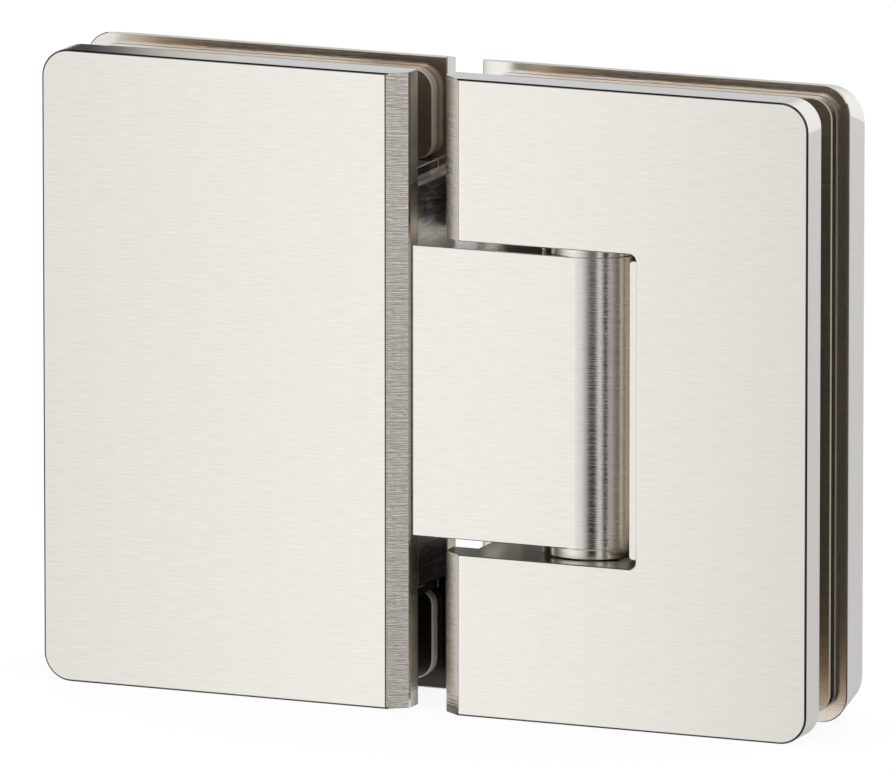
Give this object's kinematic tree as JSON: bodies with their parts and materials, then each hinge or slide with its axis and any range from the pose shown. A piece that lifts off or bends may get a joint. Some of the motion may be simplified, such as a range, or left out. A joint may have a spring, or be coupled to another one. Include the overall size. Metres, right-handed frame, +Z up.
{
  "type": "shower door hinge",
  "caption": "Glass-to-glass shower door hinge: a fixed and a door leaf of clamped plates, joined by a knuckle that sits in the door leaf's cut-out and turns on an upright pin with detents.",
  "frame": {"origin": "under the middle of the hinge, on the level of its bottom edges", "axes": "+Z up along the pin, +X from the fixed leaf to the door leaf, -Y the front with the bevelled faces"},
  "size_m": [0.115, 0.0214, 0.09],
  "materials": {
    "nickel": "warm brushed nickel, fine horizontal grain",
    "gasket": "smooth dark brown-grey",
    "pin_steel": "ground",
    "bush": "turned, glossy",
    "spring_steel": "drawn wire",
    "screw_steel": "satin"
  },
  "bodies": {
    "fixed_leaf": {"fixed_front_leaf": "nickel", "fixed_back_plate": "nickel", "fixed_front_gasket": "gasket", "fixed_back_gasket": "gasket", "fixed_notch_liner": "gasket", "fixed_upper_clamp_screw": "screw_steel", "fixed_lower_clamp_screw": "screw_steel", "upper_bush": "bush", "lower_bush": "bush", "upper_detent_spring": "spring_steel", "lower_detent_spring": "spring_steel", "upper_set_screw": "screw_steel", "lower_set_screw": "screw_steel"},
    "door_leaf": {"door_front_leaf": "nickel", "door_back_plate": "nickel", "door_front_gasket": "gasket", "door_back_gasket": "gasket", "door_notch_liner": "gasket", "pivot_pin": "pin_steel", "upper_pin_grub_screw": "screw_steel", "lower_pin_grub_screw": "screw_steel", "door_upper_clamp_screw": "screw_steel", "door_lower_clamp_screw": "screw_steel"},
    "upper_detent": {"upper_detent_plunger": "pin_steel"},
    "lower_detent": {"lower_detent_plunger": "pin_steel"}
  },
  "joints": [
    {"name": "door_swing", "type": "hinge", "parent": "fixed_leaf", "child": "door_leaf", "pos_m": [0.02182, -0.00042, 0.045], "axis": [0, 0, 1], "range_deg": [-90, 90]},
    {"name": "upper_detent_slide", "type": "slide", "parent": "fixed_leaf", "child": "upper_detent", "axis": [1, 0, 0], "range_m": [0, 0.0006], "stiffness_N_per_m": 1000, "springref_m": 0.006},
    {"name": "lower_detent_slide", "type": "slide", "parent": "fixed_leaf", "child": "lower_detent", "axis": [1, 0, 0], "range_m": [0, 0.0006], "stiffness_N_per_m": 1000, "springref_m": 0.006}
  ]
}
